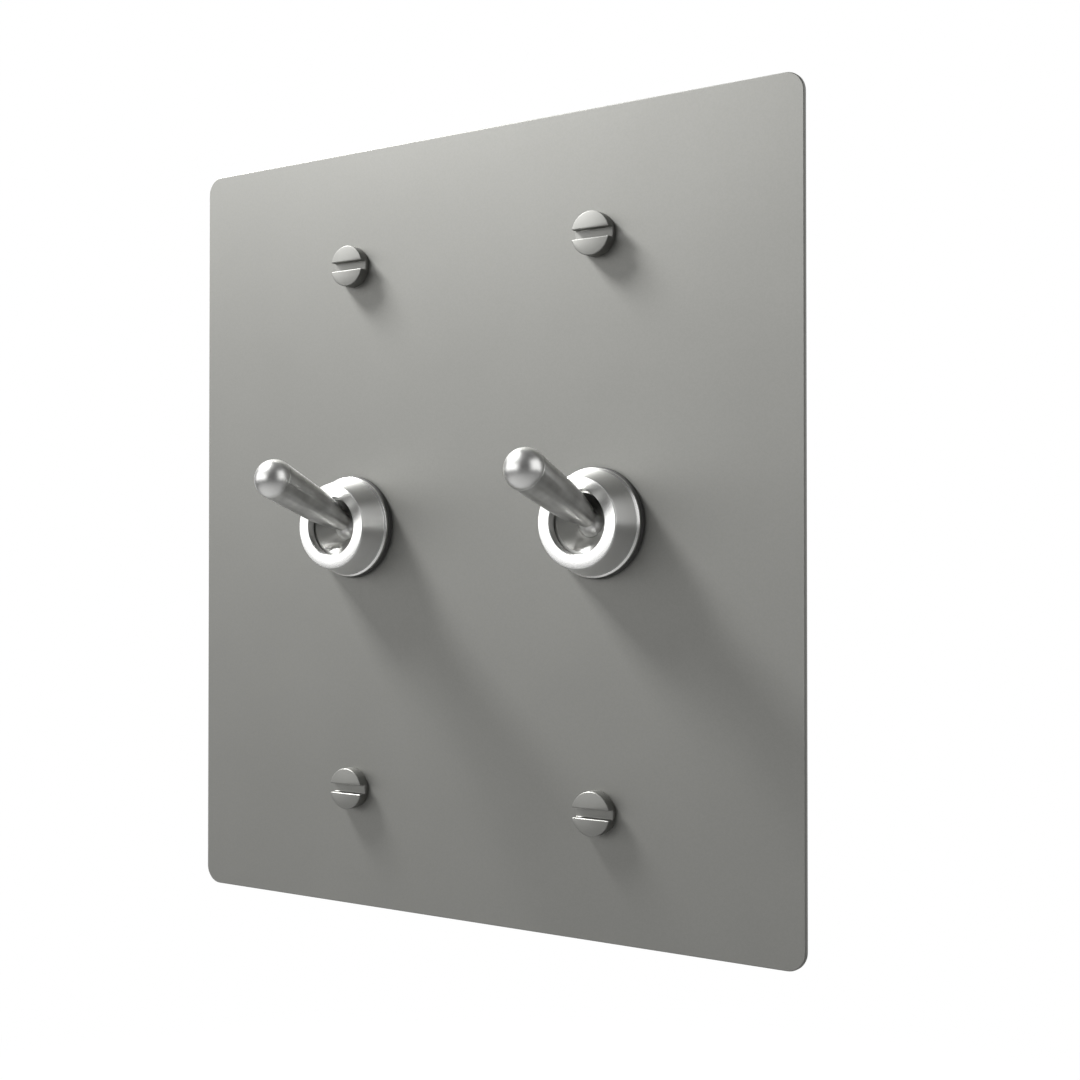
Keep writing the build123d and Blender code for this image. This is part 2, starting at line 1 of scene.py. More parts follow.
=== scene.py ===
"""Dresses the two-gang toggle switch plate: finer turned pieces, finishes, lamps and the camera."""
import logging
import math
from dataclasses import dataclass, field
from enum import Enum
from typing import Callable, Iterable

import bpy
from mathutils import Matrix, Vector


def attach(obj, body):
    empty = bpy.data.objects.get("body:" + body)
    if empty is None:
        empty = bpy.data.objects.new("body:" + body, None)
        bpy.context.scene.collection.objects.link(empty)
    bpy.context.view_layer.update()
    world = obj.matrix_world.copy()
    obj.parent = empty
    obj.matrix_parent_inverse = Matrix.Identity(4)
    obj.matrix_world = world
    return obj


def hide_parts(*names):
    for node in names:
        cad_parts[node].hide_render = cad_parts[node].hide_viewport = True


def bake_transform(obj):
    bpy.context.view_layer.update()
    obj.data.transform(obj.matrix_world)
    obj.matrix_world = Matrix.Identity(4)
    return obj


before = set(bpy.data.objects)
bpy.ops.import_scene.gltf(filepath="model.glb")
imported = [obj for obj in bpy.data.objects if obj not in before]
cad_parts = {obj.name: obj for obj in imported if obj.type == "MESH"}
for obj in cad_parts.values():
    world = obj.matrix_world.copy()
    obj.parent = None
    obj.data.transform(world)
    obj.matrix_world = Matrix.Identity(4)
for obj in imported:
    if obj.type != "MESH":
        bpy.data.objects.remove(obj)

LOG = logging.getLogger("toggle_switch")
MM = 0.001
TINY = 1e-4
HAIR = 1e-3
GANGS: dict[str, float] = {"left": -23.02, "right": 23.02}
PLATE_FRONT = -0.6
NOISE_LOW = 0.3
NOISE_HIGH = 0.7
PATCH_SHARE = 0.6
SMOOTH_ANGLE = 28.0
SQUARE_ON = 0.9
ARC_SHARE = 0.45
WHITE = (1.0, 1.0, 1.0, 1.0)

Point = tuple[float, float, float]
Profile = list[tuple[float, float]]


class Grain(Enum):
    """The pattern that a tool or process leaves on a surface."""

    PLAIN = "plain"
    BLASTED = "blasted"
    TURNED = "turned"
    DRAWN = "drawn"
    ROLLED = "rolled"
    MOULDED = "moulded"


class NodeBench:
    """Adds and joins shader nodes in one material or world."""

    def __init__(self, tree: bpy.types.NodeTree) -> None:
        """Start with an empty tree.

        Args:
            tree: The node tree to fill.
        """
        self.tree = tree
        self.tree.nodes.clear()

    def add(self, kind: str, **settings: object) -> bpy.types.Node:
        """Add a node.

        Args:
            kind: The node's type name without its prefix.
            settings: Properties to set on the node.

        Returns:
            The new node.
        """
        node = self.tree.nodes.new("ShaderNode" + kind)
        for name, value in settings.items():
            setattr(node, name, value)
        return node

    def join(self, source: bpy.types.NodeSocket, target: bpy.types.NodeSocket) -> None:
        """Link an output to an input."""
        self.tree.links.new(source, target)

    def math(self, operation: str, first: object, second: object = 0.0) -> bpy.types.NodeSocket:
        """Add a math node.

        Args:
            operation: The math node's operation.
            first: A socket or number.
            second: A socket or number.

        Returns:
            The node's output.
        """
        node = self.add("Math", operation=operation)
        for index, value in enumerate((first, second)):
            if isinstance(value, bpy.types.NodeSocket):
                self.join(value, node.inputs[index])
            else:
                node.inputs[index].default_value = value
        return node.outputs[0]

    def spread(self, value: bpy.types.NodeSocket, low: float, high: float,
               start: float, end: float) -> bpy.types.NodeSocket:
        """Map a range smoothly onto another.

        Args:
            value: The socket to map.
            low: Lower end of the incoming range.
            high: Upper end of the incoming range.
            start: Result at the lower end.
            end: Result at the upper end.

        Returns:
            The mapped socket.
        """
        node = self.add("MapRange", interpolation_type="SMOOTHSTEP")
        self.join(value, node.inputs["Value"])
        for name, number in (("From Min", low), ("From Max", high), ("To Min", start), ("To Max", end)):
            node.inputs[name].default_value = number
        return node.outputs["Result"]

    def parts(self, vector: bpy.types.NodeSocket) -> dict[str, bpy.types.NodeSocket]:
        """Split a vector into its X, Y and Z.

        Args:
            vector: The vector socket.

        Returns:
            The three sockets by letter.
        """
        node = self.add("SeparateXYZ")
        self.join(vector, node.inputs[0])
        return {letter: node.outputs[letter] for letter in "XYZ"}

    def rays(self) -> tuple[bpy.types.NodeSocket, bpy.types.NodeSocket]:
        """Tell the camera's own rays from those that a glossy or clear surface sends on.

        Returns:
            Two sockets, each 1 for its kind of ray and 0 for others.
        """
        path = self.add("LightPath")
        sent_on = self.math("MAXIMUM", path.outputs["Is Glossy Ray"], path.outputs["Is Transmission Ray"])
        return path.outputs["Is Camera Ray"], sent_on


@dataclass(frozen=True)
class Finish:
    """A surface finish: base colour, gloss and the grain that its making leaves.

    Lengths are in millimetres. The centre and tilt place the axis of turned or drawn grain.
    """

    name: str
    colour: Point
    metallic: float = 1.0
    roughness: float = 0.4
    anisotropy: float = 0.0
    grain: Grain = Grain.PLAIN
    grain_size: float = 0.3
    grain_height: float = 0.002
    tone: float = 0.06
    patch: float = 20.0
    gloss_spread: float = 0.08
    centre: Point = (0.0, 0.0, 0.0)
    tilt: float = 0.0

    def make(self) -> bpy.types.Material:
        """Build the node material.

        Returns:
            The new material.
        """
        material = bpy.data.materials.new(self.name)
        material.use_nodes = True
        bench = NodeBench(material.node_tree)
        shader = bench.add("BsdfPrincipled")
        output = bench.add("OutputMaterial")
        bench.join(shader.outputs["BSDF"], output.inputs["Surface"])
        shader.inputs["Metallic"].default_value = self.metallic
        place = self._placed(bench)
        grain = self._grain(bench, place)
        self._paint(bench, shader, place, grain)
        low = self.roughness - self.gloss_spread / 2
        rough = bench.spread(grain, NOISE_LOW, NOISE_HIGH, low, low + self.gloss_spread)
        bench.join(rough, shader.inputs["Roughness"])
        self._relief(bench, shader, grain)
        if self.anisotropy:
            shader.inputs["Anisotropic"].default_value = self.anisotropy
            bench.join(self._tangent(bench, shader), shader.inputs["Tangent"])
        return material

    def _tangent(self, bench: NodeBench, shader: bpy.types.Node) -> bpy.types.NodeSocket:
        """Draw highlights out along a drawn piece's axis, or outwards from a turned one's.

        Args:
            bench: The material's nodes.
            shader: The surface shader.

        Returns:
            The direction of the anisotropic highlights.
        """
        if self.grain is Grain.DRAWN:
            turn = math.radians(self.tilt)
            axis = bench.add("CombineXYZ")
            for letter, value in zip("XYZ", (0.0, math.cos(turn), math.sin(turn))):
                axis.inputs[letter].default_value = value
            carried = bench.add("VectorTransform", vector_type="VECTOR", convert_from="OBJECT",
                                convert_to="WORLD")
            bench.join(axis.outputs[0], carried.inputs[0])
            return carried.outputs[0]
        shader.inputs["Anisotropic Rotation"].default_value = 0.25
        return bench.add("Tangent", direction_type="RADIAL", axis="Y").outputs[0]

    def _placed(self, bench: NodeBench) -> bpy.types.NodeSocket:
        """Centre and turn object coordinates on the piece.

        Args:
            bench: The material's nodes.

        Returns:
            Coordinates about the piece's own axis, in metres.
        """
        coordinate = bench.add("TexCoord")
        mapping = bench.add("Mapping", vector_type="TEXTURE")
        mapping.inputs["Location"].default_value = [value * MM for value in self.centre]
        mapping.inputs["Rotation"].default_value = (math.radians(self.tilt), 0, 0)
        bench.join(coordinate.outputs["Object"], mapping.inputs["Vector"])
        return mapping.outputs["Vector"]

    def _grain(self, bench: NodeBench, place: bpy.types.NodeSocket) -> bpy.types.NodeSocket:
        """Make the grain's height, from 0 to 1.

        Args:
            bench: The material's nodes.
            place: Coordinates about the piece's axis.

        Returns:
            The grain's height.
        """
        rate = 1 / (self.grain_size * MM)
        stretch: Point = {
            Grain.DRAWN: (1.0, 0.03, 1.0),
            Grain.ROLLED: (1.0, 1.0, 0.02),
            Grain.TURNED: (1.0, 1.0, 0.0),
        }.get(self.grain, (1.0, 1.0, 1.0))
        vector = place
        if self.grain is Grain.TURNED:
            parts = bench.parts(place)
            across = bench.math("MULTIPLY", parts["X"], parts["X"])
            up = bench.math("MULTIPLY", parts["Z"], parts["Z"])
            radius = bench.math("SQRT", bench.math("ADD", across, up))
            ring = bench.add("CombineXYZ")
            bench.join(radius, ring.inputs["X"])
            bench.join(parts["Y"], ring.inputs["Y"])
            vector = ring.outputs[0]
        scaled = bench.add("VectorMath", operation="MULTIPLY")
        bench.join(vector, scaled.inputs[0])
        scaled.inputs[1].default_value = [rate * share for share in stretch]
        noise = bench.add("TexNoise", noise_dimensions="3D")
        noise.inputs["Scale"].default_value = 1.0
        noise.inputs["Detail"].default_value = 3.0
        bench.join(scaled.outputs[0], noise.inputs["Vector"])
        return noise.outputs["Fac"]

    def _paint(self, bench: NodeBench, shader: bpy.types.Node, place: bpy.types.NodeSocket,
               grain: bpy.types.NodeSocket) -> None:
        """Give the base colour its patches and grain.

        Args:
            bench: The material's nodes.
            shader: The surface shader.
            place: Coordinates about the piece's axis.
            grain: The grain's height.
        """
        cloud = bench.add("TexNoise", noise_dimensions="3D")
        cloud.inputs["Scale"].default_value = 1 / (self.patch * MM)
        cloud.inputs["Detail"].default_value = 2.0
        bench.join(place, cloud.inputs["Vector"])
        both = bench.math("ADD", bench.math("MULTIPLY", cloud.outputs["Fac"], PATCH_SHARE),
                          bench.math("MULTIPLY", grain, 1 - PATCH_SHARE))
        ramp = bench.add("ValToRGB")
        dark, light = ramp.color_ramp.elements
        dark.position = NOISE_LOW
        light.position = NOISE_HIGH
        dark.color = [value * (1 - self.tone) for value in self.colour] + [1]
        light.color = [min(1, value * (1 + self.tone)) for value in self.colour] + [1]
        bench.join(both, ramp.inputs["Fac"])
        bench.join(ramp.outputs["Color"], shader.inputs["Base Color"])

    def _relief(self, bench: NodeBench, shader: bpy.types.Node, grain: bpy.types.NodeSocket) -> None:
        """Raise the grain as a fine bump.

        Args:
            bench: The material's nodes.
            shader: The surface shader.
            grain: The grain's height.
        """
        bump = bench.add("Bump")
        bump.inputs["Strength"].default_value = 1.0
        bump.inputs["Distance"].default_value = self.grain_height * MM
        bench.join(grain, bump.inputs["Height"])
        bench.join(bump.outputs["Normal"], shader.inputs["Normal"])


PLATE_STEEL = Finish("plate_steel", (0.264, 0.264, 0.250), roughness=0.60, grain=Grain.BLASTED,
                     grain_size=0.25, grain_height=0.001, tone=0.025, patch=18.0, gloss_spread=0.06)
SCREW_STEEL = Finish("screw_steel", (0.26, 0.26, 0.247), roughness=0.5, grain=Grain.BLASTED,
                     grain_size=0.2, grain_height=0.001, tone=0.04, patch=3.0)
BLACK_FIBRE = Finish("black_fibre", (0.045, 0.045, 0.043), metallic=0.0, roughness=0.6,
                     grain=Grain.MOULDED, grain_size=0.12, grain_height=0.01)
PLATED_STEEL = Finish("plated_steel", (0.62, 0.63, 0.62), roughness=0.34, grain=Grain.BLASTED,
                      grain_size=0.3, grain_height=0.001, tone=0.08, patch=3.0)
FRAME_STEEL = Finish("frame_steel", (0.58, 0.59, 0.585), roughness=0.38, grain=Grain.ROLLED,
                     grain_size=0.12, grain_height=0.001, tone=0.10, patch=4.0)
TERMINAL_STEEL = Finish("terminal_steel", (0.60, 0.59, 0.56), roughness=0.3, grain=Grain.BLASTED,
                        grain_size=0.2, grain_height=0.001, tone=0.08, patch=2.0)
PIN_STEEL = Finish("pin_steel", (0.55, 0.55, 0.55), roughness=0.25)
SPRING_STEEL = Finish("spring_steel", (0.45, 0.45, 0.46), roughness=0.3)
BRASS = Finish("brass", (0.72, 0.53, 0.24), roughness=0.32, grain=Grain.ROLLED, grain_size=0.1,
               grain_height=0.001, tone=0.10, patch=3.0)
COPPER = Finish("contact_copper", (0.72, 0.38, 0.22), roughness=0.35, grain=Grain.ROLLED,
                grain_size=0.1, grain_height=0.001, tone=0.1, patch=3.0)
SILVER = Finish("silver", (0.82, 0.81, 0.78), roughness=0.25)
BLACK_MOULDING = Finish("black_moulding", (0.022, 0.022, 0.023), metallic=0.0, roughness=0.46,
                        grain=Grain.MOULDED, grain_size=0.25, grain_height=0.006, tone=0.2, patch=6.0)
NYLON = Finish("nylon", (0.72, 0.70, 0.63), metallic=0.0, roughness=0.45, grain=Grain.MOULDED,
               grain_size=0.3, grain_height=0.003)

SHARED_FINISHES: dict[str, Finish] = {
    "collar_washer": BLACK_FIBRE,
    "lever_pin": PIN_STEEL,
    "plunger": NYLON,
    "plunger_spring": SPRING_STEEL,
    "lock_washer": PLATED_STEEL,
    "hex_nut": PLATED_STEEL,
    "switch_frame": FRAME_STEEL,
    "housing": BLACK_MOULDING,
    "rocker": COPPER,
    "rocker_rivets": SILVER,
    "common_terminal": BRASS,
    "terminal_rivets": SILVER,
    "upper_terminal": BRASS,
    "lower_terminal": BRASS,
}


def select_only(*pieces: bpy.types.Object) -> None:
    """Select some objects and nothing else, and make the first of them active."""
    bpy.ops.object.select_all(action="DESELECT")
    for piece in pieces:
        piece.select_set(True)
    bpy.context.view_layer.objects.active = pieces[0]


def settle(piece: bpy.types.Object, name: str) -> bpy.types.Object:
    """Name a piece and put its place and turn into its mesh."""
    piece.name = name
    piece.data.name = name
    bpy.ops.object.transform_apply(location=True, rotation=True, scale=True)
    return piece


def set_down(piece: bpy.types.Object, place: Point, tilt: float) -> bpy.types.Object:
    """Turn a piece about X, move it, and settle it.

    Args:
        piece: The piece, selected alone and at the origin.
        place: Where its origin goes, in millimetres.
        tilt: Its turn in degrees, before it moves.

    Returns:
        The piece, at the origin, with its place in its mesh.
    """
    piece.rotation_euler = (math.radians(tilt), 0, 0)
    piece.location = [value * MM for value in place]
    return settle(piece, piece.name)


def pick(piece: bpy.types.Object, test: Callable[[bpy.types.MeshPolygon], bool]) -> None:
    """Select, in edit mode, only the faces that pass a test.

    Args:
        piece: The mesh being edited.
        test: Says whether a face is wanted.
    """
    bpy.ops.mesh.select_all(action="DESELECT")
    bpy.ops.mesh.select_mode(type="FACE")
    bpy.ops.object.mode_set(mode="OBJECT")
    for polygon in piece.data.polygons:
        polygon.select = test(polygon)
    bpy.ops.object.mode_set(mode="EDIT")


def face_outwards(piece: bpy.types.Object) -> None:
    """Turn the faces of a closed piece outwards, and leave edit mode.

    Args:
        piece: The mesh being edited, whose signed volume tells which way its faces look.
    """
    bpy.ops.mesh.select_all(action="SELECT")
    bpy.ops.mesh.normals_make_consistent(inside=False)
    bpy.ops.object.mode_set(mode="OBJECT")
    mesh = piece.data
    mesh.calc_loop_triangles()
    volume = 0.0
    for triangle in mesh.loop_triangles:
        first, second, third = (mesh.vertices[index].co for index in triangle.vertices)
        volume += first.dot(second.cross(third))
    if volume < 0:
        bpy.ops.object.mode_set(mode="EDIT")
        bpy.ops.mesh.select_all(action="SELECT")
        bpy.ops.mesh.flip_normals()
        bpy.ops.object.mode_set(mode="OBJECT")


def sweep(piece: bpy.types.Object, turns: float, rise: float, steps: int, smooth_angle: float) -> None:
    """Sweep a profile round Y along a helix, weld its turns, cap its ends and shade it.

    Args:
        piece: The profile, at the origin, selected alone.
        turns: How many turns it makes.
        rise: How far it moves along Y meanwhile, in millimetres.
        steps: Steps in all its turns.
        smooth_angle: The angle up to which its faces shade smoothly, in degrees.
    """
    helix = piece.modifiers.new("helix", "SCREW")
    helix.axis = "Y"
    helix.angle = math.tau * turns
    helix.screw_offset = rise * MM
    helix.steps = steps
    helix.render_steps = steps
    bpy.ops.object.modifier_apply(modifier=helix.name)
    bpy.ops.object.mode_set(mode="EDIT")
    bpy.ops.mesh.select_mode(type="VERT")
    bpy.ops.mesh.select_all(action="SELECT")
    bpy.ops.mesh.remove_doubles(threshold=HAIR * MM)
    bpy.ops.mesh.fill_holes(sides=0)
    face_outwards(piece)
    bpy.ops.object.shade_smooth_by_angle(angle=math.radians(smooth_angle))


def join_pieces(pieces: list[bpy.types.Object], name: str) -> bpy.types.Object:
    """Join closed shells of one real piece into one object.

    Args:
        pieces: The shells, the first of which keeps its object.
        name: The joined piece's name.

    Returns:
        The joined piece.
    """
    select_only(*pieces)
    bpy.ops.object.join()
    return settle(bpy.context.object, name)


def copied(piece: bpy.types.Object, name: str, offset: Point, turn: float = 0.0) -> bpy.types.Object:
    """Copy a piece with its own mesh, turn it about X and move it.

    Args:
        piece: The piece to copy.
        name: The copy's name.
        offset: How far it moves, in millimetres.
        turn: Its turn about X in degrees, before it moves.

    Returns:
        The copy, at the origin, with its place in its mesh.
    """
    twin = piece.copy()
    twin.data = piece.data.copy()
    twin.name = name
    bpy.context.scene.collection.objects.link(twin)
    select_only(twin)
    return set_down(twin, offset, turn)


def dress(piece: bpy.types.Object, material: bpy.types.Material) -> None:
    """Put one material on every face of a piece."""
    if not piece.data.materials:
        piece.data.materials.append(material)
    for index in range(len(piece.data.materials)):
        piece.data.materials[index] = material


def polish(piece: bpy.types.Object, material: bpy.types.Material,
           test: Callable[[bpy.types.MeshPolygon], bool]) -> None:
    """Give some faces of a dressed piece a second material.

    Args:
        piece: The dressed piece.
        material: The second material.
        test: Says whether a face takes it.
    """
    piece.data.materials.append(material)
    select_only(piece)
    bpy.ops.object.mode_set(mode="EDIT")
    pick(piece, test)
    piece.active_material_index = 1
    bpy.ops.object.material_slot_assign()
    bpy.ops.object.mode_set(mode="OBJECT")


def drop(piece: bpy.types.Object) -> None:
    """Delete a pattern piece once its copies are made."""
    mesh = piece.data
    bpy.data.objects.remove(piece)
    bpy.data.meshes.remove(mesh)


class Lathe:
    """Turns profiles about a line along Y, as meshes made with edit-mode operators."""

    def __init__(self, segments: int = 96, smooth_angle: float = SMOOTH_ANGLE) -> None:
        """Keep the number of segments and the angle up to which faces shade smoothly."""
        self.segments = segments
        self.smooth_angle = smooth_angle

    def turn(self, name: str, profile: Profile, centre: Point = (0.0, 0.0, 0.0),
             tilt: float = 0.0, closed: bool = False) -> bpy.types.Object:
        """Turn a profile of (radius, place) stations, in millimetres.

        Args:
            name: The new object's name.
            profile: The stations, from one end to the other.
            centre: Where the profile's zero sits.
            tilt: Turn about X in degrees, after the piece is made.
            closed: Whether the profile runs round a ring and back to its start.

        Returns:
            The finished piece, at the origin, with its place in its mesh.
        """
        bpy.ops.object.select_all(action="DESELECT")
        first_radius, first_place = profile[0]
        bpy.ops.mesh.primitive_circle_add(
            vertices=self.segments, radius=max(first_radius, TINY) * MM, fill_type="NOTHING",
            location=(0, first_place * MM, 0), rotation=(math.pi / 2, 0, 0))
        piece = settle(bpy.context.object, name)
        bpy.ops.object.mode_set(mode="EDIT")
        bpy.ops.mesh.select_mode(type="VERT")
        bpy.ops.mesh.select_all(action="SELECT")
        stations = profile[1:] + ([profile[0]] if closed else [])
        radius, place = max(first_radius, TINY), first_place
        for next_radius, next_place in stations:
            bpy.ops.mesh.extrude_region_move(
                TRANSFORM_OT_translate={"value": (0, (next_place - place) * MM, 0)})
            next_radius = max(next_radius, TINY)
            ratio = next_radius / radius
            bpy.ops.transform.resize(value=(ratio, 1, ratio), center_override=(0, next_place * MM, 0))
            radius, place = next_radius, next_place
        bpy.ops.mesh.select_all(action="SELECT")
        bpy.ops.mesh.remove_doubles(threshold=2 * TINY * MM)
        face_outwards(piece)
        set_down(piece, centre, tilt)
        bpy.ops.object.shade_smooth_by_angle(angle=math.radians(self.smooth_angle))
        return piece


def round_corners(profile: Profile, radius: float, steps: int = 3, closed: bool = False) -> Profile:
    """Round each corner of a profile with a small arc.

    Args:
        profile: The (radius, place) stations.
        radius: How far back from each corner the arc starts.
        steps: Points on each arc, less one.
        closed: Whether the profile runs round a ring.

    Returns:
        The rounded profile.
    """
    rounded: Profile = []
    count = len(profile)
    for index, corner in enumerate(profile):
        if not closed and index in (0, count - 1):
            rounded.append(corner)
            continue
        here = Vector(corner)
        before = Vector(profile[index - 1]) - here
        after = Vector(profile[(index + 1) % count]) - here
        back = min(radius, ARC_SHARE * before.length, ARC_SHARE * after.length)
        start = here + before.normalized() * back
        end = here + after.normalized() * back
        for step in range(steps + 1):
            share = step / steps
            point = start * (1 - share) ** 2 + here * (2 * share * (1 - share)) + end * share ** 2
            rounded.append((point.x, point.y))
    return rounded


@dataclass(frozen=True)
class Thread:
    """A true helical thread about a line along Y, closed at both ends, on a rod or on a sleeve with a bore.

    The last five sizes are shares: four of the pitch, and one of the depth where the thread fades out.
    """

    crest: float
    root: float
    pitch: float
    start: float
    end: float
    steps: int = 24
    bore: float = 0.0
    rise_from: float = 0.12
    crest_from: float = 0.48
    crest_to: float = 0.62
    fall_to: float = 0.98
    faded: float = 0.02

    def cut(self, name: str) -> bpy.types.Object:
        """Sweep the thread's profile round its axis.

        Args:
            name: The new object's name.

        Returns:
            The thread, closed, at the origin.
        """
        bpy.ops.object.select_all(action="DESELECT")
        bpy.ops.mesh.primitive_plane_add(size=0.1 * MM, location=(0, 0, 0))
        piece = settle(bpy.context.object, name)
        bpy.ops.object.mode_set(mode="EDIT")
        bpy.ops.mesh.select_mode(type="VERT")
        bpy.ops.mesh.select_all(action="SELECT")
        bpy.ops.mesh.merge(type="CENTER")
        bpy.ops.transform.translate(value=(self.root * MM, self.start * MM, 0))
        here = (self.root, self.start)
        for station in self._stations():
            step = [(new - old) * MM for new, old in zip(station, here)]
            bpy.ops.mesh.extrude_region_move(TRANSFORM_OT_translate={"value": (step[0], step[1], 0)})
            here = station
        bpy.ops.mesh.select_all(action="SELECT")
        bpy.ops.mesh.remove_doubles(threshold=TINY * MM)
        bpy.ops.object.mode_set(mode="OBJECT")
        sweep(piece, 1.0, self.pitch, self.steps, SMOOTH_ANGLE)
        return piece

    def _stations(self) -> Profile:
        """Points of the profile after its first, fading in and out over a turn at each end.

        Returns:
            The (radius, place) points.
        """
        turns = int((self.end - self.start) / self.pitch) - 1
        stations: Profile = []
        for turn in range(turns):
            base = self.start + turn * self.pitch
            full = 0 < turn < turns - 1
            top = self.crest if full else self.root + self.faded * (self.crest - self.root)
            for share, radius in ((self.rise_from, self.root), (self.crest_from, top),
                                  (self.crest_to, top), (self.fall_to, self.root)):
                stations.append((radius, base + share * self.pitch))
        stations.append((self.root, self.start + turns * self.pitch))
        if self.bore:
            stations += [(self.bore, self.start + turn * self.pitch) for turn in range(turns, -1, -1)]
            stations.append((self.root, self.start))
        return stations


@dataclass(frozen=True)
class Coil:
    """A spring of round wire about a line along Y, with the ends of its wire closed."""

    wire_radius: float
    radius: float
    start: float
    end: float
    turns: float
    wire_sides: int = 12
    turn_steps: int = 24
    smooth_angle: float = 45.0

    def wind(self, name: str) -> bpy.types.Object:
        """Wind the wire round its axis.

        Args:
            name: The new object's name.

        Returns:
            The spring, at the origin.
        """
        bpy.ops.object.select_all(action="DESELECT")
        bpy.ops.mesh.primitive_circle_add(
            vertices=self.wire_sides, radius=self.wire_radius * MM, fill_type="NOTHING",
            location=(self.radius * MM, self.start * MM, 0))
        spring = settle(bpy.context.object, name)
        steps = int(self.turn_steps * self.turns)
        sweep(spring, self.turns, self.end - self.start, steps, self.smooth_angle)
        return spring


@dataclass(frozen=True)
class SlottedScrew:
    """A slotted cheese head machine screw along Y: its head's underside at zero, its head towards -Y.

    The shank sinks into the head, and shank and point stand a hair over the thread's root, so that they hold
    the thread. The sharp angle is that of an edge that gets broken.
    """

    head_radius: float
    head_height: float
    slot_width: float
    slot_depth: float
    edge: float
    thread: Thread
    point: float
    root_cover: float = 0.015
    sunk_share: float = 0.2
    point_turns: float = 1.4
    sharp_angle: float = 50.0

    def make(self, name: str) -> bpy.types.Object:
        """Model the head, the thread and the point, and join them.

        Args:
            name: The screw's name.

        Returns:
            The screw, at the origin.
        """
        head = self._head(name)
        thread = self.thread.cut(name + "_thread")
        cover = self.thread.root + self.root_cover
        sunk = -self.slot_depth * self.sunk_share
        first_turn = self.thread.start + self.thread.pitch
        last_turn = self.thread.end - self.point_turns * self.thread.pitch
        lathe = Lathe(segments=48)
        shank = lathe.turn(name + "_shank", [
            (0.0, sunk), (cover, sunk), (cover, first_turn), (0.0, first_turn)])
        tip = lathe.turn(name + "_tip", [
            (0.0, last_turn), (cover, last_turn), (cover, self.thread.end - self.point),
            (self.thread.root - self.point, self.thread.end), (0.0, self.thread.end)])
        return join_pieces([head, thread, shank, tip], name)

    def _head(self, name: str) -> bpy.types.Object:
        """Raise the head from a disc, leave its slot and break its edges.

        The slot's edges fall midway between the disc's second and third corners, so that a bevel has room.

        Args:
            name: The head's name.

        Returns:
            The head.
        """
        slot_angle = math.asin(self.slot_width / 2 / self.head_radius)
        sides = 4 * round(1.5 * math.tau / slot_angle / 4)
        bpy.ops.object.select_all(action="DESELECT")
        bpy.ops.mesh.primitive_circle_add(
            vertices=sides, radius=self.head_radius * MM, fill_type="NGON", rotation=(math.pi / 2, 0, 0))
        head = settle(bpy.context.object, name)
        floor = self.head_height - self.slot_depth
        half = self.slot_width / 2 * MM
        bpy.ops.object.mode_set(mode="EDIT")
        bpy.ops.mesh.select_all(action="SELECT")
        bpy.ops.mesh.extrude_region_move(TRANSFORM_OT_translate={"value": (0, -floor * MM, 0)})
        front = (HAIR - floor) * MM
        for side in (-1, 1):
            pick(head, lambda face: face.center.y < front and abs(face.normal.y) > SQUARE_ON)
            bpy.ops.mesh.bisect(plane_co=(0, 0, side * half), plane_no=(0, 0, 1))
        pick(head, lambda face: face.center.y < front and abs(face.normal.y) > SQUARE_ON
             and abs(face.center.z) > half)
        bpy.ops.mesh.extrude_region_move(TRANSFORM_OT_translate={"value": (0, -self.slot_depth * MM, 0)})
        bpy.ops.mesh.select_all(action="SELECT")
        bpy.ops.mesh.normals_make_consistent(inside=False)
        bpy.ops.mesh.select_all(action="DESELECT")
        bpy.ops.mesh.select_mode(type="EDGE")
        bpy.ops.mesh.edges_select_sharp(sharpness=math.radians(self.sharp_angle))
        bpy.ops.mesh.bevel(offset=self.edge * MM, segments=3, affect="EDGES", clamp_overlap=True)
        bpy.ops.object.mode_set(mode="OBJECT")
        bpy.ops.object.shade_smooth_by_angle(angle=math.radians(SMOOTH_ANGLE))
        return head


PLATE_SCREW = SlottedScrew(
    head_radius=3.22, head_height=1.9, slot_width=1.4, slot_depth=1.1, edge=0.16,
    thread=Thread(crest=1.75, root=1.36, pitch=0.794, start=0.5, end=25.4), point=0.4)
TERMINAL_SCREW = SlottedScrew(
    head_radius=2.9, head_height=1.6, slot_width=0.9, slot_depth=0.8, edge=0.12,
    thread=Thread(crest=1.5, root=1.22, pitch=0.5, start=0.0, end=3.8), point=0.3)


@dataclass
class FacePlate:
    """The flat steel plate and the four screws through it."""

    row: float = 41.67
    screw: SlottedScrew = PLATE_SCREW
    made: list[str] = field(default_factory=list)

    def build(self) -> None:
        """Dress the plate and fit its screws."""
        dress(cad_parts["face_plate"], PLATE_STEEL.make())
        self.made.append("face_plate")
        pattern = self.screw.make("plate_screw_pattern")
        dress(pattern, SCREW_STEEL.make())
        for side, x in GANGS.items():
            for level, z in (("upper", self.row), ("lower", -self.row)):
                name = f"plate_screw_{level}_{side}"
                screw = copied(pattern, name, (x, PLATE_FRONT, z))
                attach(screw, "switch_plate")
                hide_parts("plate_screws")
                self.made.append(name)
        drop(pattern)


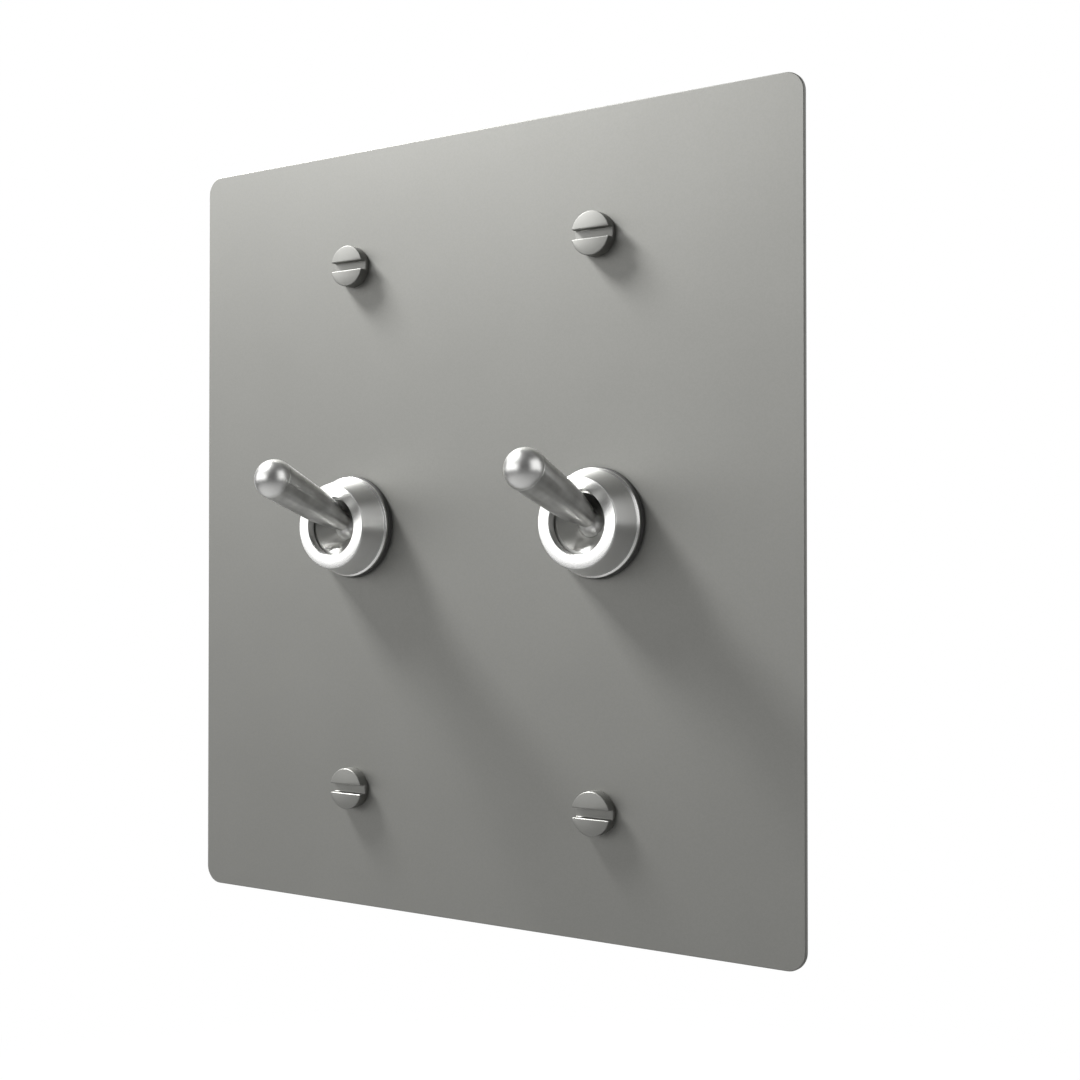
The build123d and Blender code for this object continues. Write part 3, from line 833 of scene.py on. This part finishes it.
@dataclass
class Toggle:
    """One switch: its lever, bushing and dress collar in front, and its works behind the plate."""

    side: str
    axis_x: float
    pivot_y: float = -1.3
    tilt: float = 21.5
    tip_reach: float = 18.7
    tip_radius: float = 3.05
    tip_margin: float = 0.02
    waist_reach: float = 10.3
    waist_radius: float = 2.66
    root_reach: float = 4.0
    root_radius: float = 1.9
    neck_reach: float = 2.3
    neck_radius: float = 1.45
    ball_radius: float = 2.35
    tail_radius: float = 1.3
    tail_reach: float = 9.0
    barrel_start: float = 9.9
    barrel_radius: float = 2.5
    barrel_end: float = 16.2
    barrel_break: float = 0.2
    bore_radius: float = 1.75
    bore_reach: float = 10.7
    spring: Coil = Coil(wire_radius=0.2, radius=1.43, start=10.95, end=13.55, turns=3.5)
    collar_front: float = -6.1
    collar_back: float = -1.4
    collar_opening: float = 4.65
    collar_face: float = 6.65
    collar_bore: float = 5.993
    collar_lip: float = 1.3
    collar_break: float = 0.15
    collar_softness: float = 0.06
    opening_break: float = 0.1
    rim_radius: float = 7.95
    rim_width: float = 0.5
    rim_bevel: float = 0.3
    rim_polish: float = 0.25
    washer_radius: float = 8.1
    washer_clearance: float = 0.04
    washer_softness: float = 0.15
    bushing_front: float = -4.6
    bushing_radius: float = 5.953
    bushing_pitch: float = 0.794
    thread_depth: float = 0.49
    thread_cover: float = 0.01
    thread_sleeve: float = 0.2
    nose_radius: float = 5.65
    nose_length: float = 0.3
    nose_break: float = 0.05
    run_in: float = 0.45
    mouth_radius: float = 4.236
    mouth_hole: float = 2.1
    mouth_break: float = 0.04
    seat_clearance: float = 0.05
    skirt_radius: float = 4.65
    spigot_radius: float = 5.3
    stake_radius: float = 5.9
    stake_height: float = 0.4
    frame_front: float = 4.9
    frame_sheet: float = 1.0
    terminal_place: float = 26.7
    common_rise: float = 0.4
    blade_place: float = 13.7785
    made: list[str] = field(default_factory=list)

    def build(self, shared: dict[str, bpy.types.Material], screw: bpy.types.Object) -> None:
        """Make the finer pieces, and dress the works.

        Args:
            shared: Ready materials by node name without the side.
            screw: The pattern of the terminal screws.
        """
        self._lever()
        self._collar()
        self._washer(shared["collar_washer"])
        self._bushing()
        self._spring(shared["plunger_spring"])
        self._terminal_screws(screw)
        for node in SHARED_FINISHES:
            dress(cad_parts[f"{node}_{self.side}"], shared[node])

    def _fit(self, piece: bpy.types.Object, node: str, body: str = "switch_plate") -> None:
        """Let a piece ride on its body and stand for its solid.

        Args:
            piece: The finished piece.
            node: The node's name without its side.
            body: The body that carries it.
        """
        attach(piece, body)
        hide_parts(f"{node}_{self.side}")
        self.made.append(piece.name)

    def _handle_profile(self) -> Profile:
        """Stations of the whole lever, from its domed tip to the bottom of its bore.

        Returns:
            The lever's (radius, place) stations about its pivot.
        """
        dome_steps, taper_steps, neck_steps, ball_steps = 24, 6, 12, 20
        groove = 0.05
        profile: Profile = []
        for step in range(dome_steps + 1):
            angle = math.pi / 2 * step / dome_steps
            profile.append((self.tip_radius * math.sin(angle),
                            -self.tip_reach - self.tip_radius * math.cos(angle)))
        profile += [(self.tip_radius - groove, -self.tip_reach + groove),
                    (self.tip_radius - groove, -self.tip_reach + 2 * groove),
                    (self.tip_radius - 0.3 * groove, -self.tip_reach + 3 * groove)]
        for step in range(2, taper_steps + 1):
            share = step / taper_steps
            profile.append((self.tip_radius + share * (self.waist_radius - self.tip_radius),
                            -self.tip_reach + share * (self.tip_reach - self.waist_reach)))
        slope = (self.tip_radius - self.waist_radius) / (self.tip_reach - self.waist_reach)
        run = self.waist_reach - self.root_reach
        sag = self.waist_radius - slope * run - self.root_radius
        for step in range(1, neck_steps + 1):
            along = run * step / neck_steps
            profile.append((self.waist_radius - slope * along - sag * (along / run) ** 2,
                            -self.waist_reach + along))
        profile.append((self.neck_radius, -self.neck_reach))
        start_angle = math.asin(self.neck_radius / self.ball_radius)
        end_angle = math.pi - math.asin(self.tail_radius / self.ball_radius)
        for step in range(ball_steps + 1):
            angle = start_angle + (end_angle - start_angle) * step / ball_steps
            profile.append((self.ball_radius * math.sin(angle), -self.ball_radius * math.cos(angle)))
        profile += [
            (self.tail_radius, self.tail_reach),
            (self.barrel_radius, self.barrel_start),
            (self.barrel_radius, self.barrel_end - self.barrel_break),
            (self.barrel_radius - self.barrel_break, self.barrel_end),
            (self.bore_radius, self.barrel_end),
            (self.bore_radius, self.bore_reach),
            (0.0, self.bore_reach),
        ]
        return profile

    def _lever(self) -> None:
        """Turn the lever, polish its tip and let it stand for its solid."""
        centre = (self.axis_x, self.pivot_y, 0.0)
        lever = Lathe().turn(f"bat_lever_{self.side}", self._handle_profile(), centre, -self.tilt)
        shaft = Finish(f"lever_steel_{self.side}", (0.64, 0.64, 0.625), roughness=0.33, anisotropy=0.75,
                       grain=Grain.DRAWN, grain_size=1.1, grain_height=0.00005, tone=0.34,
                       patch=3.0, gloss_spread=0.10, centre=centre, tilt=-self.tilt)
        tip = Finish(f"lever_tip_{self.side}", (0.72, 0.72, 0.705), roughness=0.33,
                     grain=Grain.BLASTED, grain_size=0.1, grain_height=0.0002, tone=0.02,
                     patch=2.0, gloss_spread=0.04)
        dress(lever, shaft.make())
        turn = math.radians(self.tilt)
        axis = Vector((0, -math.cos(turn), math.sin(turn)))
        pivot = Vector(centre) * MM
        edge = (self.tip_reach - self.tip_margin) * MM
        polish(lever, tip.make(), lambda face: (face.center - pivot).dot(axis) > edge)
        self._fit(lever, "lever", f"lever_{self.side}")

    def _collar(self) -> None:
        """Turn the conical dress nut and let it stand for its solid."""
        front, back = self.collar_front, self.collar_back
        rim_front = back - self.rim_width
        profile = [
            (self.collar_opening + self.opening_break, front),
            (self.collar_face - self.collar_break, front),
            (self.collar_face, front + self.collar_break),
            (self.rim_radius - self.rim_bevel, rim_front - self.rim_bevel),
            (self.rim_radius, rim_front),
            (self.rim_radius, back),
            (self.collar_bore, back),
            (self.collar_bore, front + self.collar_lip),
            (self.collar_opening, front + self.collar_lip),
            (self.collar_opening, front + self.opening_break),
        ]
        rounded = round_corners(profile, self.collar_softness, closed=True)
        centre = (self.axis_x, 0.0, 0.0)
        lathe = Lathe(segments=128, smooth_angle=22.0)
        collar = lathe.turn(f"dress_collar_{self.side}", rounded, centre, closed=True)
        cone = Finish(f"turned_steel_{self.side}", (0.78, 0.78, 0.765), roughness=0.34,
                      anisotropy=0.8, grain=Grain.TURNED, grain_size=0.08, grain_height=0.00004,
                      tone=0.02, patch=3.0, gloss_spread=0.02, centre=centre)
        ring = Finish(f"faced_steel_{self.side}", (0.88, 0.88, 0.865), roughness=0.26,
                      anisotropy=0.2, grain=Grain.TURNED, grain_size=0.08, grain_height=0.00004,
                      tone=0.02, patch=3.0, gloss_spread=0.02, centre=centre)
        dress(collar, cone.make())
        rim = (self.rim_radius - self.rim_polish) * MM
        polish(collar, ring.make(), lambda face: face.normal.y < -SQUARE_ON or math.hypot(
            face.center.x - self.axis_x * MM, face.center.z) > rim)
        self._fit(collar, "collar")

    def _washer(self, fibre: bpy.types.Material) -> None:
        """Turn the black washer with soft edges.

        Args:
            fibre: Its material.
        """
        inner, outer = self.bushing_radius + self.washer_clearance, self.washer_radius
        profile = [(inner, self.collar_back), (outer, self.collar_back), (outer, PLATE_FRONT),
                   (inner, PLATE_FRONT)]
        rounded = round_corners(profile, self.washer_softness, closed=True)
        washer = Lathe().turn(f"fibre_washer_{self.side}", rounded, (self.axis_x, 0.0, 0.0), closed=True)
        dress(washer, fibre)
        self._fit(washer, "collar_washer")

    def _bushing(self) -> None:
        """Turn the bushing with its mouth and seat, and cut its thread."""
        front, core = self.bushing_front, self.bushing_radius - self.thread_depth
        mouth, hole, edge = self.mouth_radius, self.mouth_hole, self.mouth_break
        seat = self.ball_radius + self.seat_clearance
        seat_front = self.pivot_y - math.sqrt(seat ** 2 - hole ** 2)
        seat_steps = 12
        start = math.asin(hole / seat)
        ball: Profile = []
        for step in range(1, seat_steps + 1):
            angle = start + (math.pi / 2 - start) * step / seat_steps
            ball.append((seat * math.sin(angle), self.pivot_y - seat * math.cos(angle)))
        frame_back = self.frame_front + self.frame_sheet
        back = frame_back + self.stake_height
        profile = [
            (mouth, front), (mouth - edge, front + edge), (hole + 1.5 * edge, seat_front - 0.75 * edge),
            (hole, seat_front + 0.5 * edge), *ball,
            (self.skirt_radius, back), (self.stake_radius, back), (self.stake_radius, frame_back),
            (self.spigot_radius, frame_back), (self.spigot_radius, self.frame_front),
            (core, self.frame_front), (core, front + self.run_in + self.nose_break),
            (self.nose_radius, front + self.nose_length), (self.nose_radius, front + self.nose_break),
            (self.nose_radius - self.nose_break, front),
        ]
        centre = (self.axis_x, 0.0, 0.0)
        lathe = Lathe(smooth_angle=24.0)
        body = lathe.turn(f"bushing_body_{self.side}", profile, centre, closed=True)
        thread = Thread(crest=self.bushing_radius, root=core + self.thread_cover, pitch=self.bushing_pitch,
                        start=front + self.run_in, end=self.frame_front, steps=64,
                        bore=core - self.thread_sleeve)
        worm = copied(thread.cut("worm"), f"bushing_thread_{self.side}", centre)
        drop(bpy.data.objects["worm"])
        bushing = join_pieces([body, worm], f"threaded_bushing_{self.side}")
        finish = Finish(f"bushing_metal_{self.side}", (0.44, 0.44, 0.425), roughness=0.30,
                        anisotropy=0.75, grain=Grain.TURNED, grain_size=0.15, grain_height=0.00004,
                        tone=0.03, patch=3.0, gloss_spread=0.03, centre=centre)
        dress(bushing, finish.make())
        self._fit(bushing, "bushing")

    def _spring(self, steel: bpy.types.Material) -> None:
        """Wind the plunger's spring, which shortens as the plunger goes in.

        Args:
            steel: Its material.
        """
        centre = (self.axis_x, self.pivot_y, 0.0)
        spring = set_down(self.spring.wind(f"coil_spring_{self.side}"), centre, -self.tilt)
        dress(spring, steel)
        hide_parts(f"plunger_spring_{self.side}")
        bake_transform(spring)
        self.made.append(spring.name)

    def _terminal_screws(self, pattern: bpy.types.Object) -> None:
        """Fit a binding screw to each terminal.

        Args:
            pattern: The pattern of the screws.
        """
        seats = (("common", self.common_rise, -90.0),
                 ("upper", self.blade_place, -90.0),
                 ("lower", -self.blade_place, 90.0))
        for name, z, turn in seats:
            screw = copied(pattern, f"{name}_terminal_screw_{self.side}",
                           (self.axis_x, self.terminal_place, z), turn)
            self._fit(screw, "terminal_screws")


@dataclass(frozen=True)
class Lamp:
    """A rectangular studio lamp."""

    name: str
    place: Point
    width: float
    height: float
    watts: float
    aim: Point = (0.0, 0.0, 0.0)

    def build(self) -> None:
        """Hang the lamp and aim it."""
        data = bpy.data.lights.new(self.name, "AREA")
        data.shape = "RECTANGLE"
        data.size = self.width
        data.size_y = self.height
        data.energy = self.watts
        lamp = bpy.data.objects.new(self.name, data)
        bpy.context.scene.collection.objects.link(lamp)
        direction = Vector(self.aim) - Vector(self.place)
        lamp.location = self.place
        lamp.rotation_euler = direction.to_track_quat("-Z", "Y").to_euler()


@dataclass(frozen=True)
class Panel:
    """A large soft panel in the surroundings, by its bearing from the front and its rise, in degrees."""

    name: str
    bearing: tuple[float, float]
    rise: tuple[float, float]
    strength: float
    softness: float = 10.0


@dataclass
class Studio:
    """The floor, the surroundings, the lamps and the camera."""

    focal_pixels: float = 1607.0
    frame_pixels: float = 1080.0
    sensor: float = 36.0
    clip_start: float = 0.01
    yaw: float = 34.12
    pitch: float = 0.78
    camera_place: Point = (0.1462, -0.1970, -0.0056)
    floor_size: float = 8.0
    floor_height: float = -0.20
    floor_tone: float = 0.4
    floor_glow: float = 0.72
    floor_fade: tuple[float, float] = (0.26, 0.5)
    mirrored_fade: tuple[float, float] = (0.3, 1.2)
    ambient: float = 0.12
    backdrop: float = 1.0
    backdrop_fade: tuple[float, float] = (0.15, 0.55)
    panels: tuple[Panel, ...] = (
        Panel("left_panel", (-88.0, 0.0), (0.0, 62.0), 0.42),
        Panel("front_panel", (-80.0, -6.0), (-10.0, 23.0), 1.45, 8.0),
        Panel("right_panel", (64.0, 132.0), (-32.0, 45.0), 1.25),
    )
    lamps: tuple[Lamp, ...] = (
        Lamp("key_lamp", (-0.285, -0.105, 0.365), 0.11, 0.11, 5.6),
    )

    def build(self) -> None:
        """Set up everything round the object."""
        bpy.context.scene.view_settings.view_transform = "Standard"
        self._floor()
        self._surroundings()
        for lamp in self.lamps:
            lamp.build()
        self._camera()

    def _floor(self) -> None:
        """Lay a wide pale floor that keeps the object's shadow and runs into white."""
        bpy.ops.object.select_all(action="DESELECT")
        bpy.ops.mesh.primitive_plane_add(size=self.floor_size, location=(0, 0, self.floor_height))
        floor = settle(bpy.context.object, "floor")
        material = bpy.data.materials.new("pale_floor")
        material.use_nodes = True
        bench = NodeBench(material.node_tree)
        output = bench.add("OutputMaterial")
        matt = bench.add("BsdfDiffuse")
        matt.inputs["Color"].default_value = (self.floor_tone, self.floor_tone, self.floor_tone, 1)
        lift = bench.add("Emission")
        lift.inputs["Color"].default_value = WHITE
        near = bench.add("AddShader")
        white = bench.add("Emission")
        white.inputs["Color"].default_value = WHITE
        camera, mirrored = bench.rays()
        place = bench.add("TexCoord").outputs["Object"]
        length = bench.add("VectorMath", operation="LENGTH")
        bench.join(place, length.inputs[0])
        outer_white = bench.spread(length.outputs["Value"], *self.floor_fade, 0.0, 1.0)
        rear_white = bench.spread(bench.parts(place)["Y"], *self.mirrored_fade, 0.0, 1.0)
        seen = bench.math("MAXIMUM", bench.math("MULTIPLY", camera, outer_white),
                          bench.math("MULTIPLY", mirrored, rear_white))
        bench.join(bench.math("MULTIPLY", camera, self.floor_glow), lift.inputs["Strength"])
        bench.join(matt.outputs[0], near.inputs[0])
        bench.join(lift.outputs[0], near.inputs[1])
        mix = bench.add("MixShader")
        bench.join(seen, mix.inputs["Fac"])
        bench.join(near.outputs[0], mix.inputs[1])
        bench.join(white.outputs[0], mix.inputs[2])
        bench.join(mix.outputs[0], output.inputs["Surface"])
        dress(floor, material)

    def _glow(self, bench: NodeBench, direction: dict[str, bpy.types.NodeSocket],
              panel: Panel) -> bpy.types.NodeSocket:
        """Work out one panel's brightness in the surroundings.

        Args:
            bench: The world's nodes.
            direction: The ray's direction.
            panel: The panel.

        Returns:
            The panel's brightness along the ray.
        """
        front = bench.math("MULTIPLY", direction["Y"], -1.0)
        bearing = bench.math("ARCTAN2", direction["X"], front)
        rise = bench.math("ARCSINE", direction["Z"])
        soft = math.radians(panel.softness)
        windows: list[bpy.types.NodeSocket] = []
        for angle, (low, high) in ((bearing, panel.bearing), (rise, panel.rise)):
            middle = math.radians((low + high) / 2)
            half = math.radians((high - low) / 2)
            away = bench.math("ABSOLUTE", bench.math("SUBTRACT", angle, middle))
            windows.append(bench.spread(away, half - soft, half + soft, 1.0, 0.0))
        glow = bench.math("MULTIPLY", bench.math("MULTIPLY", windows[0], windows[1]), panel.strength)
        glow.node.label = panel.name
        return glow

    def _surroundings(self) -> None:
        """Make a white backdrop behind the object and a dim room with soft panels in front."""
        world = bpy.data.worlds.new("studio")
        bpy.context.scene.world = world
        world.use_nodes = True
        bench = NodeBench(world.node_tree)
        output = bench.add("OutputWorld")
        background = bench.add("Background")
        direction = bench.parts(bench.add("TexCoord").outputs["Generated"])
        total: object = self.ambient
        for panel in self.panels:
            total = bench.math("ADD", self._glow(bench, direction, panel), total)
        camera, mirrored = bench.rays()
        behind = bench.spread(direction["Y"], *self.backdrop_fade, 0.0, self.backdrop)
        total = bench.math("MAXIMUM", total, bench.math("MULTIPLY", mirrored, behind))
        rest = bench.math("SUBTRACT", 1.0, camera)
        bench.join(bench.math("ADD", bench.math("MULTIPLY", total, rest), camera),
                   background.inputs["Strength"])
        background.inputs["Color"].default_value = WHITE
        bench.join(background.outputs[0], output.inputs["Surface"])

    def _camera(self) -> None:
        """Place the camera at the photograph's viewpoint."""
        data = bpy.data.cameras.new("camera")
        data.sensor_fit = "HORIZONTAL"
        data.sensor_width = self.sensor
        data.lens = self.focal_pixels / self.frame_pixels * self.sensor
        data.clip_start = self.clip_start
        camera = bpy.data.objects.new("camera", data)
        bpy.context.scene.collection.objects.link(camera)
        turn, rise = math.radians(self.yaw), math.radians(self.pitch)
        forward = Vector((-math.sin(turn) * math.cos(rise), math.cos(turn) * math.cos(rise),
                          math.sin(rise)))
        right = forward.cross(Vector((0, 0, 1))).normalized()
        up = right.cross(forward)
        axes = Matrix((right, up, -forward)).transposed().to_4x4()
        camera.matrix_world = Matrix.Translation(self.camera_place) @ axes
        bpy.context.scene.camera = camera


def main() -> None:
    """Build the plate, both switches and the studio."""
    logging.basicConfig(level=logging.INFO, format="%(name)s: %(message)s")
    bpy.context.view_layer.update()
    plate = FacePlate()
    plate.build()
    LOG.info("plate: %s", ", ".join(plate.made))
    made = {finish.name: finish.make() for finish in dict.fromkeys(SHARED_FINISHES.values())}
    shared = {node: made[finish.name] for node, finish in SHARED_FINISHES.items()}
    pattern = TERMINAL_SCREW.make("terminal_screw_pattern")
    dress(pattern, TERMINAL_STEEL.make())
    for side, axis_x in GANGS.items():
        toggle = Toggle(side, axis_x)
        toggle.build(shared, pattern)
        LOG.info("switch %s: %s", side, ", ".join(toggle.made))
    drop(pattern)
    Studio().build()


if __name__ == "__main__":
    main()
